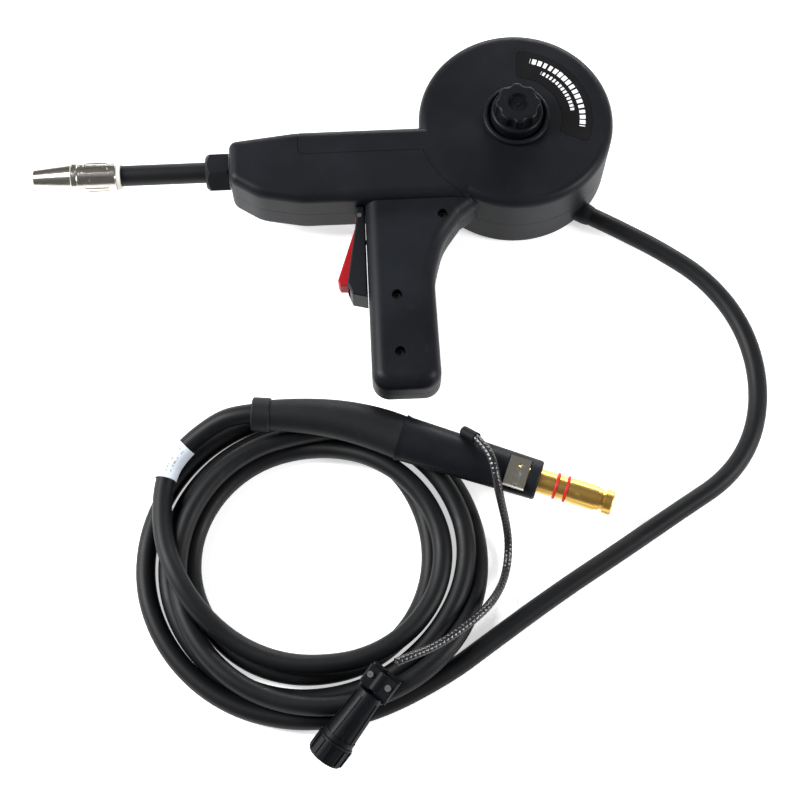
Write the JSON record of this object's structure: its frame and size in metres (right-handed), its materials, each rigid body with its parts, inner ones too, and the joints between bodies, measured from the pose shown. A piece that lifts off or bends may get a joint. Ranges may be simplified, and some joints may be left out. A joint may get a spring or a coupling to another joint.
{
  "type": "mig welding torch",
  "caption": "Spool gun type MIG welding torch lying on its side, with its cable coiled beside it, power plug and control connector.",
  "frame": {"origin": "centre of the canister's flat back face, on the surface the gun lies on, under the spool's axis", "axes": "+Z along the spool's axis towards the knob, -X towards the nozzle, -Y towards the butt of the grip"},
  "size_m": [0.4655, 0.4642, 0.073],
  "materials": {
    "plastic_satin_black": "satin moulded, fine grain",
    "plastic_gloss_black": "glossy printed badge",
    "plastic_coarse_black": "matt, slightly worn",
    "plastic_red": "satin gloss red",
    "plastic_pale": "pale moulded",
    "rubber_black": "smooth cable rubber",
    "rubber_red": "seal rubber",
    "nickel_plated": "satin nickel plating",
    "brass_plain": "turned brass",
    "copper_plain": "drawn copper",
    "steel_plain": "zinc plated steel",
    "wire_aluminium": "bright drawn wire"
  },
  "bodies": {
    "gun": {"housing_left": "plastic_satin_black", "housing_right": "plastic_satin_black", "canister_base": "plastic_satin_black", "trigger_guard": "plastic_satin_black", "plug_handle": "plastic_satin_black", "connector_shell": "plastic_coarse_black", "cable_clamp": "plastic_coarse_black", "cable_gland": "plastic_coarse_black", "microswitch": "plastic_coarse_black", "barrel_nut": "plastic_coarse_black", "barrel_jacket": "plastic_coarse_black", "contact_insert": "plastic_pale", "cable_label": "plastic_pale", "front_bushing": "plastic_pale", "nozzle_insulator": "plastic_pale", "strain_relief": "rubber_black", "cable_coil": "rubber_black", "cable_run": "rubber_black", "cable_tail": "rubber_black", "plug_boot": "rubber_black", "plug_collar": "rubber_black", "lead_sleeve": "rubber_black", "control_lead": "rubber_black", "gas_hose": "rubber_black", "power_lead": "rubber_black", "pin_seals": "rubber_red", "power_pin": "brass_plain", "power_block": "brass_plain", "gas_diffuser": "brass_plain", "inlet_guide": "brass_plain", "outlet_guide": "brass_plain", "contact_tip": "copper_plain", "conductor_tube": "copper_plain", "housing_screws": "steel_plain", "spool_spindle": "steel_plain", "brake_washer": "steel_plain", "brake_nut": "steel_plain", "feed_plate": "steel_plain", "arm_spring": "steel_plain", "trigger_pin": "steel_plain", "clamp_screws": "steel_plain", "gearbox": "steel_plain", "drive_motor": "steel_plain", "wire_liner": "steel_plain", "welding_wire": "wire_aluminium"},
    "cover": {"canister_cover": "plastic_satin_black", "cover_badge": "plastic_gloss_black"},
    "knob": {"cover_knob": "plastic_satin_black"},
    "spool": {"wire_spool": "plastic_pale", "wire_winding": "wire_aluminium"},
    "drive": {"drive_shaft": "steel_plain", "drive_roll": "steel_plain", "roll_screw": "steel_plain"},
    "arm": {"idler_arm": "steel_plain"},
    "idler": {"idler_roll": "steel_plain"},
    "trigger": {"trigger": "plastic_red"},
    "plunger": {"switch_plunger": "plastic_pale"},
    "nozzle": {"gas_nozzle": "nickel_plated"},
    "clip": {"spring_clip": "nickel_plated"},
    "ring": {"coupling_ring": "plastic_coarse_black"}
  },
  "joints": [
    {"name": "cover_lift", "type": "slide", "parent": "gun", "child": "cover", "axis": [0, 0, 1], "range_m": [0, 0.06]},
    {"name": "knob_turn", "type": "hinge", "parent": "cover", "child": "knob", "pos_m": [0, 0, 0.06], "axis": [0, 0, 1], "continuous": true},
    {"name": "spool_spin", "type": "hinge", "parent": "gun", "child": "spool", "pos_m": [0, 0, 0.0276], "axis": [0, 0, 1], "continuous": true},
    {"name": "drive_roll_spin", "type": "hinge", "parent": "gun", "child": "drive", "pos_m": [-0.075, -0.0291, 0.034], "axis": [0, 0, 1], "continuous": true},
    {"name": "arm_swing", "type": "hinge", "parent": "gun", "child": "arm", "pos_m": [-0.099, -0.0134, 0.0397], "axis": [0, 0, 1], "range_deg": [0, 5.5], "stiffness_Nm_per_rad": 0.4, "springref_deg": -17.19},
    {"name": "idler_spin", "type": "hinge", "parent": "arm", "child": "idler", "pos_m": [-0.075, -0.0139, 0.034], "axis": [0, 0, 1], "continuous": true},
    {"name": "trigger_press", "type": "hinge", "parent": "gun", "child": "trigger", "pos_m": [-0.1038, -0.0605, 0.034], "axis": [0, 0, 1], "range_deg": [0, 6], "stiffness_Nm_per_rad": 0.3, "springref_deg": -17.19},
    {"name": "plunger_slide", "type": "slide", "parent": "gun", "child": "plunger", "axis": [1, 0, 0], "range_m": [0, 0.0017]},
    {"name": "nozzle_pull", "type": "slide", "parent": "gun", "child": "nozzle", "axis": [-1, 0, 0], "range_m": [0, 0.04]},
    {"name": "clip_press", "type": "slide", "parent": "gun", "child": "clip", "axis": [0, 0, -1], "range_m": [0, 0.0006], "stiffness_N_per_m": 800, "springref_m": -0.001},
    {"name": "ring_turn", "type": "hinge", "parent": "gun", "child": "ring", "pos_m": [-0.137, -0.3938, 0.0135], "axis": [0.6162, 0.695, 0.3704], "continuous": true}
  ],
  "couplings": [
    {"joint": "drive_roll_spin", "follows": "spool_spin", "ratio": -4.668},
    {"joint": "idler_spin", "follows": "spool_spin", "ratio": 7.6385},
    {"joint": "plunger_slide", "follows": "trigger_press", "m_per_rad": 0.0145}
  ]
}
